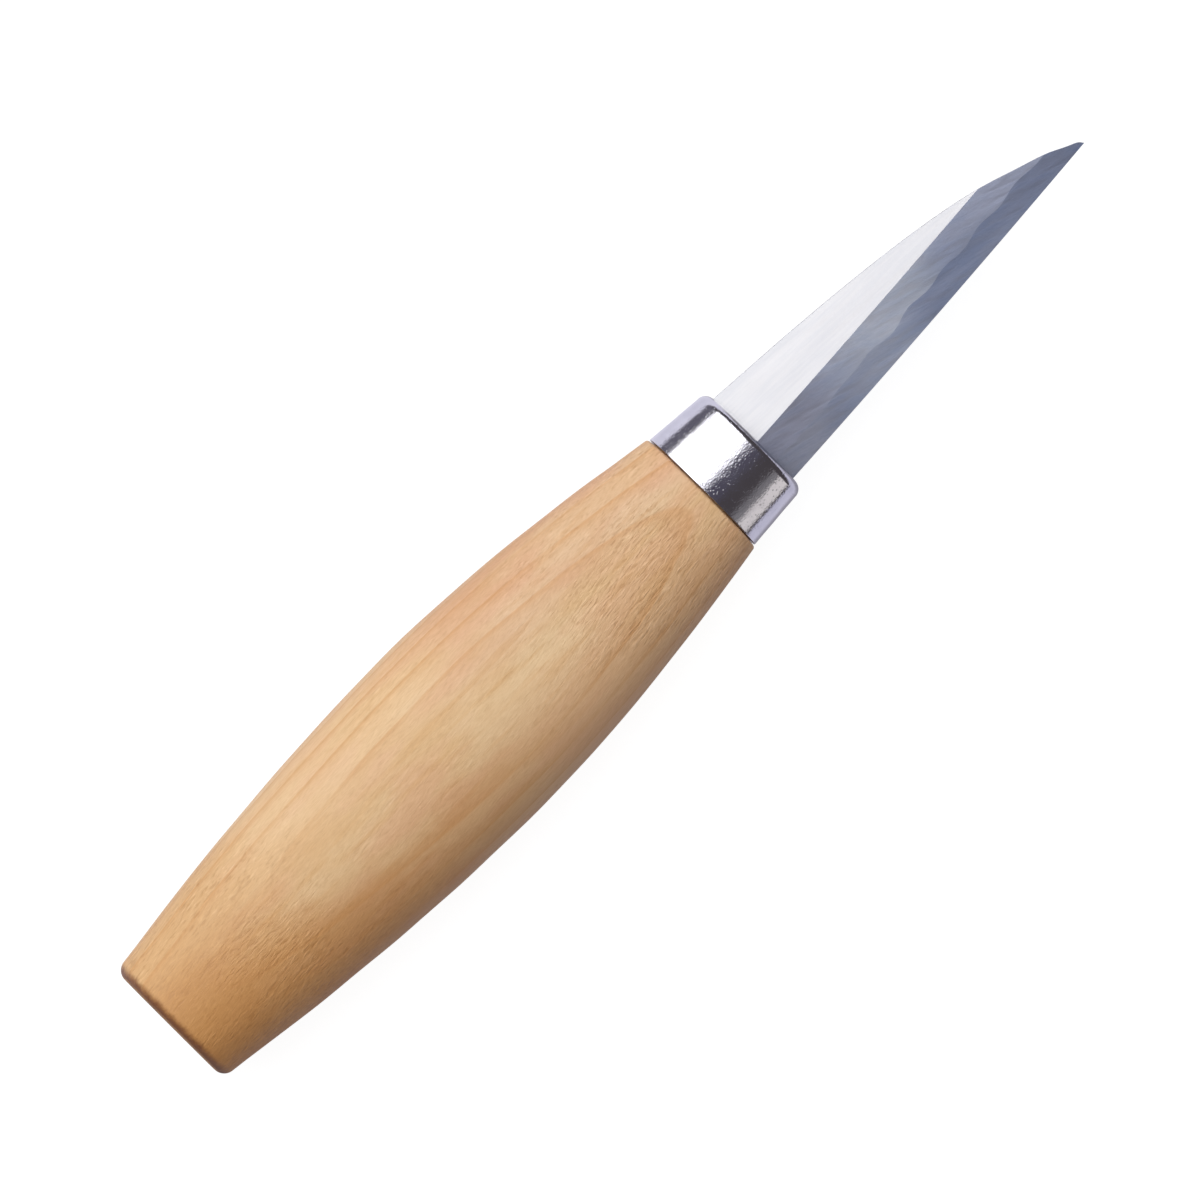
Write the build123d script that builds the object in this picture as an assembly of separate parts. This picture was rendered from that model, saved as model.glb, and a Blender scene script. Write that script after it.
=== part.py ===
from build123d import *
import math
import os

# A whittling knife: a short laminated blade with an almost straight edge, an oval steel ferrule and
# a barrel-shaped birch handle. The tang runs through the whole handle, is set in glue, and is peened
# over in a small recess in the butt. Each broad side of the handle has a shallow sanded flat under
# the knife's balance point, on which it lies without rolling.
#
# It is built along its own axis: x runs from the butt (0) to the tip, y from the edge side to the
# spine side, and z through the thickness. place() then lays it on its side, so that the finished
# part has +X towards the tip, +Y towards the spine, +Z up, and its origin on the surface that it
# lies on, under the middle of its bounding box.
#
# All sizes are in millimetres.

# ---- Driving dimensions ----------------------------------------------------------------------

OVERALL_LENGTH = 165.0

# Handle: an oval barrel, widest at the belly.
WOOD_LENGTH = 97.5
BELLY_X = 54.0
BELLY_HALF_WIDTH = 14.25
BELLY_HALF_THICKNESS = 10.0
BACK_DROP_WIDTH = 4.48
BACK_DROP_THICKNESS = 2.6
BACK_POWER = 1.85
FRONT_DROP_WIDTH = 4.38
FRONT_DROP_THICKNESS = 3.3
FRONT_POWER = 1.77
OVAL_FULLNESS = 0.60
BUTT_ROUNDING = 1.9
RIM_ROUNDING = 0.3
STATIONS_BEHIND_BELLY = 5
STATIONS_AHEAD_OF_BELLY = 4
REST_FLAT_X = 69.5
REST_FLAT_DEPTH = 0.15

# Ferrule: a drawn steel cup over the handle's tenon.
FERRULE_GAP = 0.2
FERRULE_FRONT_X = 107.25
FERRULE_BACK_HALF = (9.65, 6.35)
FERRULE_FRONT_HALF = (8.85, 5.8)
FERRULE_WALL = 0.8
FERRULE_OUTER_ROUNDING = 1.4
SLOT_CLEARANCE = 0.08

# Blade: three forge-welded layers, a hard core between two softer sides.
BLADE_THICKNESS = 2.7
TANG_THICKNESS = 2.8
CORE_THICKNESS = 1.3
BEVEL_HEIGHT = 6.65
HEEL_Y = -7.08
TIP_Y = -3.0
EDGE_BELLY = 0.2
SPINE_POINTS = [
    (107.25, 7.55),
    (121.0, 6.64),
    (133.0, 5.52),
    (145.0, 3.82),
    (151.5, 2.38),
    (157.0, 0.66),
    (161.0, -0.72),
    (163.6, -1.95),
    (164.6, -2.48),
]

# Tang and its seat in the wood.
TANG_HALF_HEIGHT_FRONT = 4.5
TANG_HALF_HEIGHT_BACK = 2.5
GLUE_THICKNESS = 0.5
RECESS_DEPTH = 1.2
RECESS_HALF = (4.2, 2.9)
PEEN_HALF = (3.4, 2.2)
PEEN_TOP_X = 0.3
PEEN_ROUNDING = 0.35

# ---- Sizes that follow from them ---------------------------------------------------------------

SHOULDER_X = FERRULE_FRONT_X - FERRULE_WALL
BEVEL_SLOPE = (BLADE_THICKNESS / 2) / BEVEL_HEIGHT
EDGE_ANGLE = math.atan2(TIP_Y - HEEL_Y, OVERALL_LENGTH - FERRULE_FRONT_X)
EDGE_CHORD = math.hypot(TIP_Y - HEEL_Y, OVERALL_LENGTH - FERRULE_FRONT_X)
EDGE_RADIUS = EDGE_CHORD**2 / (8 * EDGE_BELLY) + EDGE_BELLY / 2


# ---- Ovals and tapers --------------------------------------------------------------------------


def oval(x, half_width, half_thickness):
    """The face of an oval across the axis at x: four cubic arcs, a little fuller than an ellipse."""
    w, t = half_width, half_thickness
    k = OVAL_FULLNESS
    arcs = [
        Bezier((x, w, 0), (x, w, k * t), (x, k * w, t), (x, 0, t)),
        Bezier((x, 0, t), (x, -k * w, t), (x, -w, k * t), (x, -w, 0)),
        Bezier((x, -w, 0), (x, -w, -k * t), (x, -k * w, -t), (x, 0, -t)),
        Bezier((x, 0, -t), (x, k * w, -t), (x, w, -k * t), (x, w, 0)),
    ]
    return Face(Wire(arcs))


def box_section(x, half_height, half_thickness):
    """The face of a rectangle across the axis at x."""
    h, t = half_height, half_thickness
    corners = [(x, h, -t), (x, h, t), (x, -h, t), (x, -h, -t)]
    return Face(Wire.make_polygon(corners, close=True))


def between(start, end, share):
    """The value a given share of the way from start to end."""
    return start + (end - start) * share


def handle_halves(x):
    """Half width and half thickness of the wood at x: the belly less a power of the distance from it."""
    if x < BELLY_X:
        drop = ((BELLY_X - x) / BELLY_X) ** BACK_POWER
        width = BELLY_HALF_WIDTH - BACK_DROP_WIDTH * drop
        return width, BELLY_HALF_THICKNESS - BACK_DROP_THICKNESS * drop
    drop = ((x - BELLY_X) / (WOOD_LENGTH - BELLY_X)) ** FRONT_POWER
    width = BELLY_HALF_WIDTH - FRONT_DROP_WIDTH * drop
    return width, BELLY_HALF_THICKNESS - FRONT_DROP_THICKNESS * drop


def ferrule_halves(x, inset):
    """Half width and half thickness of the ferrule's tapered oval at x, taken in by inset."""
    share = (x - WOOD_LENGTH) / (FERRULE_FRONT_X - WOOD_LENGTH)
    width = between(FERRULE_BACK_HALF[0], FERRULE_FRONT_HALF[0], share) - inset
    return width, between(FERRULE_BACK_HALF[1], FERRULE_FRONT_HALF[1], share) - inset


def ends(solid, side):
    """The edges of a solid's end face, on the side of its lowest (0) or highest (-1) x."""
    return solid.faces().sort_by(Axis.X)[side].edges()


def ferrule_form(back_x, front_x, inset, rounding):
    """The ferrule's tapered oval as a full solid with its front edge rounded."""
    back = oval(back_x, *ferrule_halves(back_x, inset))
    front = oval(front_x, *ferrule_halves(front_x, inset))
    form = Solid.make_loft([back.outer_wire(), front.outer_wire()], ruled=True)
    return form.fillet(rounding, ends(form, -1))


# ---- Wood, glue and ferrule --------------------------------------------------------------------


def tenon_form():
    """The wood inside the ferrule. Its outside is the ferrule's inside."""
    rounding = FERRULE_OUTER_ROUNDING - FERRULE_WALL
    return ferrule_form(WOOD_LENGTH, SHOULDER_X, FERRULE_WALL, rounding)


def glue_cavity():
    """The tapered slot bored through the wood for the tang and its glue."""
    half_thickness = TANG_THICKNESS / 2 + GLUE_THICKNESS
    back = box_section(RECESS_DEPTH, TANG_HALF_HEIGHT_BACK + GLUE_THICKNESS, half_thickness)
    front = box_section(SHOULDER_X, TANG_HALF_HEIGHT_FRONT + GLUE_THICKNESS, half_thickness)
    return Solid.make_loft([back.outer_wire(), front.outer_wire()], ruled=True)


def rest_flat_cutter(side):
    """What is sanded off one broad side (1 or -1): all above a plane along the barrel's slope there."""
    share = (REST_FLAT_X - BELLY_X) / (WOOD_LENGTH - BELLY_X)
    fall = FRONT_DROP_THICKNESS * FRONT_POWER * share ** (FRONT_POWER - 1)
    slope = math.degrees(math.atan(fall / (WOOD_LENGTH - BELLY_X)))
    height = handle_halves(REST_FLAT_X)[1] - REST_FLAT_DEPTH
    block = Pos(0, 0, side * BELLY_HALF_THICKNESS) * Box(
        WOOD_LENGTH, 4 * BELLY_HALF_WIDTH, 2 * BELLY_HALF_THICKNESS
    )
    return Location((REST_FLAT_X, 0, side * height), (0, side * slope, 0)) * block


def make_handle():
    """The barrel with its flats, its tenon, the tang's slot and the recess for the peened end."""
    behind = [BELLY_X * i / STATIONS_BEHIND_BELLY for i in range(STATIONS_BEHIND_BELLY)]
    step = (WOOD_LENGTH - BELLY_X) / STATIONS_AHEAD_OF_BELLY
    ahead = [BELLY_X + step * i for i in range(STATIONS_AHEAD_OF_BELLY + 1)]
    ovals = [oval(x, *handle_halves(x)).outer_wire() for x in behind + ahead]
    barrel = Solid.make_loft(ovals, ruled=False)
    barrel = barrel.fillet(BUTT_ROUNDING, ends(barrel, 0))
    barrel = barrel.fillet(RIM_ROUNDING, ends(barrel, -1))
    for side in (1, -1):
        barrel -= rest_flat_cutter(side)
    recess = extrude(oval(0, *RECESS_HALF), RECESS_DEPTH, dir=(1, 0, 0))
    return barrel + tenon_form() - glue_cavity() - recess


def make_ferrule():
    """The cup: a tapered oval shell, closed in front but for the blade's slot."""
    shell = ferrule_form(WOOD_LENGTH + FERRULE_GAP, FERRULE_FRONT_X, 0, FERRULE_OUTER_ROUNDING)
    top = SPINE_POINTS[0][1] + SLOT_CLEARANCE
    bottom = HEEL_Y - SLOT_CLEARANCE
    slot = Box(4 * FERRULE_WALL, top - bottom, TANG_THICKNESS + 2 * SLOT_CLEARANCE)
    slot = Pos(FERRULE_FRONT_X, (top + bottom) / 2, 0) * slot
    return shell - tenon_form() - slot


# ---- Blade -------------------------------------------------------------------------------------


def blade_outline():
    """The side view of the blade and tang before grinding, as one face in the middle plane."""
    allowance = 1.0
    tip = (OVERALL_LENGTH, TIP_Y)
    spine_start = SPINE_POINTS[0]
    spine = Spline(*SPINE_POINTS, tip)
    rest = Polyline(
        tip,
        (OVERALL_LENGTH, TIP_Y - allowance),
        (SHOULDER_X, HEEL_Y - allowance),
        (SHOULDER_X, -TANG_HALF_HEIGHT_FRONT),
        (RECESS_DEPTH, -TANG_HALF_HEIGHT_BACK),
        (RECESS_DEPTH, TANG_HALF_HEIGHT_BACK),
        (SHOULDER_X, TANG_HALF_HEIGHT_FRONT),
        (SHOULDER_X, spine_start[1]),
        spine_start,
    )
    return make_face(spine + rest)


def bevel_cutter(side):
    """The steel ground off one side (1 or -1), from the shoulder to past the tip.

    The edge is an arc of a very large circle. The bevel is the cone through that arc, whose radius
    shrinks by the bevel's height while it rises by half the blade's thickness.
    """
    past_middle = 0.5
    reach = TANG_THICKNESS / 2 + past_middle
    cone = Cone(
        EDGE_RADIUS + past_middle / BEVEL_SLOPE,
        EDGE_RADIUS - reach / BEVEL_SLOPE,
        past_middle + reach,
        align=(Align.CENTER, Align.CENTER, Align.MIN),
    )
    to_centre = EDGE_RADIUS - EDGE_BELLY
    centre_x = (FERRULE_FRONT_X + OVERALL_LENGTH) / 2 - to_centre * math.sin(EDGE_ANGLE)
    centre_y = (HEEL_Y + TIP_Y) / 2 + to_centre * math.cos(EDGE_ANGLE)
    length = 1.5 * (OVERALL_LENGTH - SHOULDER_X)
    steel = Pos(SHOULDER_X + length / 2, HEEL_Y + BEVEL_HEIGHT, reach / 2) * Box(
        length, 4 * BEVEL_HEIGHT, reach + 2 * past_middle
    )
    cutter = steel - Pos(centre_x, centre_y, -past_middle) * cone
    return cutter if side > 0 else mirror(cutter, Plane.XY)


def peened_head():
    """The tang's end, hammered out to a low oval button in the butt's recess."""
    head = extrude(oval(PEEN_TOP_X, *PEEN_HALF), RECESS_DEPTH - PEEN_TOP_X, dir=(1, 0, 0))
    return head.solid().fillet(PEEN_ROUNDING, ends(head, 0))


def flat_cutter(side):
    """The skin ground off one side (1 or -1) of the blade ahead of the ferrule, down to its flat."""
    length = OVERALL_LENGTH - FERRULE_FRONT_X
    skin = Box(2 * length, 4 * BEVEL_HEIGHT, BLADE_THICKNESS)
    return Pos(FERRULE_FRONT_X + length, 0, side * BLADE_THICKNESS) * skin


def make_blade_bar():
    """Blade, tang and peened end in one piece, before it is divided into its layers."""
    bar = extrude(blade_outline(), TANG_THICKNESS / 2, both=True)
    for side in (1, -1):
        bar = bar - flat_cutter(side) - bevel_cutter(side)
    return bar + peened_head()


def layer(bar, low, high):
    """The part of the blade bar between two heights through its thickness."""
    slab = Box(3 * OVERALL_LENGTH, 3 * BELLY_HALF_WIDTH, high - low)
    return bar & Pos(0, 0, (low + high) / 2) * slab


# ---- Assembly ----------------------------------------------------------------------------------


def place(shape):
    """Lays a shape on its side on the ground plane, with the middle of its length over the origin."""
    return Pos(-OVERALL_LENGTH / 2, 0, BELLY_HALF_THICKNESS) * shape


def build():
    """Every piece of the knife by name, in its place."""
    bar = make_blade_bar()
    half_core = CORE_THICKNESS / 2
    outside = PEEN_HALF[1] + 1.0
    return {
        "handle": make_handle(),
        "ferrule": make_ferrule(),
        "blade_core": layer(bar, -half_core, half_core),
        "blade_cladding_right": layer(bar, half_core, outside),
        "blade_cladding_left": layer(bar, -outside, -half_core),
        "tang_glue": glue_cavity() - bar,
    }


os.makedirs("parts", exist_ok=True)
for name, piece in build().items():
    export_step(place(piece), f"parts/{name}.step")
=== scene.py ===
import logging
import math
from dataclasses import dataclass, field
from enum import Enum, IntEnum
from typing import Optional, Sequence, Union

import bmesh
import bpy
import numpy as np
from mathutils import Matrix, Vector


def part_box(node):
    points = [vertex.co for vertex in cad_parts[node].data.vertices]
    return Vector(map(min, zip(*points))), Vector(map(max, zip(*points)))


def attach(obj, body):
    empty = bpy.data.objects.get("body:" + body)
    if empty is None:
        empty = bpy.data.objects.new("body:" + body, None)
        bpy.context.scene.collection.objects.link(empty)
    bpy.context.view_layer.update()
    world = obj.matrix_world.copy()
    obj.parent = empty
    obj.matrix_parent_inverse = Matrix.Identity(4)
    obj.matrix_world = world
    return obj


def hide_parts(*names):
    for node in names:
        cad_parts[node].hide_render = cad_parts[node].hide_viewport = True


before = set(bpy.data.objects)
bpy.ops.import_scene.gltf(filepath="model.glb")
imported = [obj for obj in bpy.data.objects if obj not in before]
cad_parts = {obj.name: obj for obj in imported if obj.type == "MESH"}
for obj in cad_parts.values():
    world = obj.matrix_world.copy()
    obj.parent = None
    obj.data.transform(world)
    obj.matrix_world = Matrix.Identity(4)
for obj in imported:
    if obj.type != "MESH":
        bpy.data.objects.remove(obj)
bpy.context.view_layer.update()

MM = 0.001
OVAL_FULLNESS = 0.60
log = logging.getLogger("knife")

Colour = tuple[float, float, float]
Socket = bpy.types.NodeSocket
Feed = Union[float, Sequence[float], Socket]


def srgb(red: int, green: int, blue: int) -> Colour:
    """Turns a screen colour into the linear one that a shader takes.

    Args:
        red: Red from 0 to 255.
        green: Green from 0 to 255.
        blue: Blue from 0 to 255.

    Returns:
        The same colour with each channel raised by the screen's gamma curve.
    """
    parts = np.array([red, green, blue]) / 255.0
    linear = np.where(parts <= 0.04045, parts / 12.92, ((parts + 0.055) / 1.055) ** 2.4)
    return tuple(float(part) for part in linear)


# ---- Surfaces on a grid ------------------------------------------------------------------------


class Side(Enum):
    """The two sides of the blade: the one that lies upwards, and the one that faces the table."""

    RIGHT = 1
    LEFT = -1


class SideFinish(IntEnum):
    """The finishes of a side layer, in the order of its materials."""

    BEVEL = 0
    FLAT = 1
    TANG = 2


class CoreFinish(IntEnum):
    """The finishes of the core, in the order of its materials."""

    BEVEL = 0
    TANG = 1


@dataclass
class Sheet:
    """A lattice of points, rows by columns, that becomes one stretch of a piece's skin.

    Attributes:
        points: Rows by columns by three coordinates, in metres.
        ring_rows: Whether the last row joins the first.
        ring_columns: Whether the last column joins the first.
        finish: Which of the piece's materials it takes, one number or one for each quad.
    """

    points: np.ndarray
    ring_rows: bool = False
    ring_columns: bool = False
    finish: Union[int, np.ndarray] = 0

    def quads(self) -> np.ndarray:
        """The corners of each quad.

        Returns:
            Quads by four corners, counted along the rows of the lattice.
        """
        rows, columns = self.points.shape[:2]
        i = np.arange(rows if self.ring_rows else rows - 1)
        j = np.arange(columns if self.ring_columns else columns - 1)
        i, j = np.meshgrid(i, j, indexing="ij")
        ahead, beside = (i + 1) % rows, (j + 1) % columns
        corners = [i * columns + j, ahead * columns + j, ahead * columns + beside, i * columns + beside]
        return np.stack(corners, axis=-1).reshape(-1, 4)


def skin(name: str, sheets: Sequence[Sheet], materials: Sequence[bpy.types.Material],
         crease: float = 32.0, weld: float = 2e-7) -> bpy.types.Object:
    """Makes one closed piece from its sheets.

    Coinciding points are merged, faces with no area go, and all faces are turned outwards. Edges
    sharper than the crease stay crisp, and the rest are shaded smooth.

    Args:
        name: The piece's name.
        sheets: The stretches of its skin, which meet along their borders.
        materials: Its finishes, in the order that the sheets number them.
        crease: The angle in degrees above which an edge stays crisp.
        weld: How close two points are before they are merged, in metres.

    Returns:
        The object, at the origin with its place in its mesh.
    """
    points, quads, finishes, count = [], [], [], 0
    for sheet in sheets:
        corners = sheet.quads()
        points.append(sheet.points.reshape(-1, 3))
        quads.append(corners + count)
        finishes.append(np.broadcast_to(sheet.finish, (len(corners),)))
        count += points[-1].shape[0]
    mesh = bpy.data.meshes.new(name)
    mesh.from_pydata(np.concatenate(points), [], np.concatenate(quads))
    mesh.polygons.foreach_set("material_index", np.concatenate(finishes).astype(np.int32))
    for material in materials:
        mesh.materials.append(material)
    work = bmesh.new()
    work.from_mesh(mesh)
    bmesh.ops.remove_doubles(work, verts=work.verts, dist=weld)
    bmesh.ops.dissolve_degenerate(work, edges=work.edges, dist=weld)
    bmesh.ops.recalc_face_normals(work, faces=work.faces)
    if work.calc_volume(signed=True) < 0:
        bmesh.ops.reverse_faces(work, faces=work.faces)
    work.to_mesh(mesh)
    work.free()
    mesh.shade_smooth()
    mesh.set_sharp_from_angle(angle=math.radians(crease))
    piece = bpy.data.objects.new(name, mesh)
    bpy.context.scene.collection.objects.link(piece)
    return piece


def quarter(start: float, end: float, count: int) -> np.ndarray:
    """Angles in radians from start to end, both in degrees, evenly spaced."""
    return np.radians(np.linspace(start, end, count))


def oval(around: np.ndarray) -> tuple[np.ndarray, np.ndarray]:
    """The knife's oval section, with half width and half thickness 1, from four cubic arcs.

    Each quarter is a cubic Bezier arc whose two inner control points stand at OVAL_FULLNESS along
    the tangents. At 0.552 it would be a circle, and it is a little squarer above that.

    Args:
        around: Turns round the oval, where 1 is a whole turn.

    Returns:
        The coordinates across the width and through the thickness.
    """
    quarters = (around % 1.0) * 4.0
    which = np.floor(quarters).astype(int) % 4
    t = quarters - np.floor(quarters)
    s = 1.0 - t
    leaving = s**3 + 3 * s * s * t + 3 * s * t * t * OVAL_FULLNESS
    arriving = 3 * s * s * t * OVAL_FULLNESS + 3 * s * t * t + t**3
    across = np.choose(which, [leaving, -arriving, -leaving, arriving])
    through = np.choose(which, [arriving, leaving, -arriving, -leaving])
    return across, through


def waves(x: np.ndarray, turn: np.ndarray, seed: int, count: int, cycles: tuple[float, float],
          lobes: int) -> np.ndarray:
    """A gentle unevenness over a skin or along a line, as a sum of cosine waves with random phases.

    Args:
        x: Place along the axis, as a share of the length.
        turn: Place round the axis, in whole turns.
        seed: Seed of the random phases and wave numbers.
        count: How many waves are added.
        cycles: Fewest and most waves along the length.
        lobes: Most waves round the axis.

    Returns:
        The unevenness, with a root mean square of about 1.
    """
    draw = np.random.default_rng(seed)
    total = np.zeros(np.broadcast(x, turn).shape)
    for _ in range(count):
        along = draw.uniform(*cycles)
        round_axis = draw.integers(-lobes, lobes + 1)
        phase = draw.uniform(0.0, 2 * math.pi)
        total = total + np.cos(2 * math.pi * (along * x + round_axis * turn) + phase)
    return total * math.sqrt(2.0 / count)


def rounded_off(radius: float, past: np.ndarray) -> np.ndarray:
    """How far a quarter circle takes a skin in, at places that far past where the circle begins."""
    return radius - np.sqrt(np.clip(radius**2 - np.clip(past, 0, radius) ** 2, 0, None))


def part_way(start: tuple[float, float], end: tuple[float, float], share: float) -> tuple[float, float]:
    """A pair of sizes on the way from one pair to another."""
    return tuple(a + (b - a) * share for a, b in zip(start, end))


def stand(place: Vector, right: Vector, up: Vector, back: Vector) -> Matrix:
    """The transform of a lamp or a camera at a place, from its own three directions."""
    return Matrix.Translation(place) @ Matrix((right, up, back)).transposed().to_4x4()


class SmoothLine:
    """A smooth line through a few points of a plane.

    Both coordinates are cubic in the length of the straight runs between the points, with no bend
    at the two ends. The line is read as a height at a place, so it never turns back.
    """

    def __init__(self, points: Sequence[tuple[float, float]], samples: int = 4000) -> None:
        """Works the line out at many places.

        Args:
            points: The points that it passes through.
            samples: How many places it is worked out at.
        """
        knots = np.array(points, float)
        step = np.hypot(*np.diff(knots, axis=0).T)
        length = np.concatenate([[0.0], np.cumsum(step)])
        rise = np.diff(knots, axis=0) / step[:, None]
        inner = np.arange(1, len(knots) - 1)
        system, right = np.eye(len(knots)), np.zeros_like(knots)
        system[inner, inner - 1] = step[:-1]
        system[inner, inner] = 2 * (step[:-1] + step[1:])
        system[inner, inner + 1] = step[1:]
        right[inner] = 6 * np.diff(rise, axis=0)
        bend = np.linalg.solve(system, right)
        at = np.linspace(0.0, length[-1], samples)
        i = np.clip(np.searchsorted(length, at) - 1, 0, len(step) - 1)
        width, after, before = step[i, None], (at - length[i])[:, None], (length[i + 1] - at)[:, None]
        line = (bend[i] * before**3 + bend[i + 1] * after**3) / (6 * width)
        line = line + (knots[i] / width - bend[i] * width / 6) * before
        self.line = line + (knots[i + 1] / width - bend[i + 1] * width / 6) * after

    def __call__(self, x: np.ndarray) -> np.ndarray:
        """The line's height at each place."""
        return np.interp(x, self.line[:, 0], self.line[:, 1])


# ---- Shader recipes ----------------------------------------------------------------------------


class Recipe:
    """Builds one material's nodes. Patterns read Object coordinates in millimetres."""

    def __init__(self, name: str) -> None:
        """Starts an empty material.

        Args:
            name: The material's name.
        """
        self.material = bpy.data.materials.new(name)
        self.material.use_nodes = True
        self.tree = self.material.node_tree
        self.tree.nodes.clear()
        self.output = self.tree.nodes.new("ShaderNodeOutputMaterial")

    def feed(self, socket: Socket, value: Feed) -> None:
        """Links a socket to another, or sets its value.

        Args:
            socket: The input.
            value: The output to link it to, or the value.
        """
        if isinstance(value, bpy.types.NodeSocket):
            self.tree.links.new(value, socket)
        else:
            socket.default_value = value

    def node(self, kind: str, inputs: Optional[dict] = None, **settings) -> bpy.types.Node:
        """Adds a node.

        Args:
            kind: The node's type, without its ShaderNode prefix.
            inputs: Values or sockets for its inputs, by name or number.
            **settings: The node's own properties.

        Returns:
            The node.
        """
        made = self.tree.nodes.new("ShaderNode" + kind)
        for key, value in settings.items():
            setattr(made, key, value)
        for key, value in (inputs or {}).items():
            self.feed(made.inputs[key], value)
        return made

    def place(self, scale: Sequence[float] = (1, 1, 1), turn: Sequence[float] = (0, 0, 0),
              shift: Sequence[float] = (0, 0, 0), of: Optional[Socket] = None) -> Socket:
        """Coordinates for a pattern.

        Args:
            scale: Cycles per millimetre along each axis.
            turn: Turn about each axis, in degrees.
            shift: Added afterwards.
            of: Coordinates in millimetres to start from, or None for the piece's own.

        Returns:
            The coordinates, turned first and scaled after.
        """
        if of is None:
            of = self.millimetres()
        turned = self.node("Mapping", {"Vector": of, "Rotation": [math.radians(a) for a in turn]})
        scaled = self.node(
            "Mapping", {"Vector": turned.outputs[0], "Scale": tuple(scale), "Location": tuple(shift)}
        )
        return scaled.outputs[0]

    def millimetres(self) -> Socket:
        """The piece's own coordinates in millimetres."""
        own = self.node("TexCoord").outputs["Object"]
        return self.node("Mapping", {"Vector": own, "Scale": (1000, 1000, 1000)}).outputs[0]

    def noise(self, where: Socket, detail: float = 2.0, rough: float = 0.5, warp: float = 0.0,
              output: str = "Fac") -> Socket:
        """A cloud of noise at the given coordinates.

        Args:
            where: The coordinates, in cycles.
            detail: How many finer clouds stand on it.
            rough: How strong the finer ones are.
            warp: How far the cloud is drawn out of shape.
            output: Which of the node's outputs to give.

        Returns:
            The cloud's value, or its colour.
        """
        inputs = {"Vector": where, "Scale": 1.0, "Detail": detail, "Roughness": rough, "Distortion": warp}
        return self.node("TexNoise", inputs).outputs[output]

    def calc(self, operation: str, a: Feed, b: Feed = 0.0) -> Socket:
        """One step of arithmetic, named as in the Math node."""
        return self.node("Math", {0: a, 1: b}, operation=operation).outputs[0]

    def between(self, value: Socket, low: float, high: float, out_low: float = 0.0,
                out_high: float = 1.0) -> Socket:
        """Eases a value from out_low at low to out_high at high, and holds it beyond.

        Args:
            value: The value.
            low: Where the easing starts. It may be above high, and then the easing runs downwards.
            high: Where it ends.
            out_low: The result at low.
            out_high: The result at high.

        Returns:
            The eased value.
        """
        inputs = {0: value, 1: low, 2: high, 3: out_low, 4: out_high}
        return self.node("MapRange", inputs, interpolation_type="SMOOTHSTEP").outputs[0]

    def blend(self, share: Feed, a: Union[Colour, Socket], b: Union[Colour, Socket],
              how: str = "MIX") -> Socket:
        """Mixes two colours.

        Args:
            share: How much of the second colour there is.
            a: The first colour.
            b: The second colour.
            how: The Mix node's way of mixing.

        Returns:
            The mixed colour.
        """
        made = self.node("Mix", data_type="RGBA", blend_type=how)
        self.feed(made.inputs[0], share)
        for socket, value in ((made.inputs[6], a), (made.inputs[7], b)):
            self.feed(socket, value if isinstance(value, bpy.types.NodeSocket) else (*value, 1.0))
        return made.outputs[2]

    def bump(self, height: Socket, depth_mm: float, under: Optional[Socket] = None) -> Socket:
        """A relief, alone or over another.

        Args:
            height: The relief's height, from 0 to 1.
            depth_mm: What the full height is, in millimetres.
            under: The other relief.

        Returns:
            The surface's direction.
        """
        inputs = {"Height": height, "Distance": depth_mm * MM, "Strength": 1.0}
        if under is not None:
            inputs["Normal"] = under
        return self.node("Bump", inputs).outputs[0]

    def surface(self, inputs: dict) -> bpy.types.Material:
        """Ends the recipe with a Principled shader and returns the material."""
        shader = self.node("BsdfPrincipled", inputs)
        self.tree.links.new(shader.outputs[0], self.output.inputs["Surface"])
        return self.material


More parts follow.
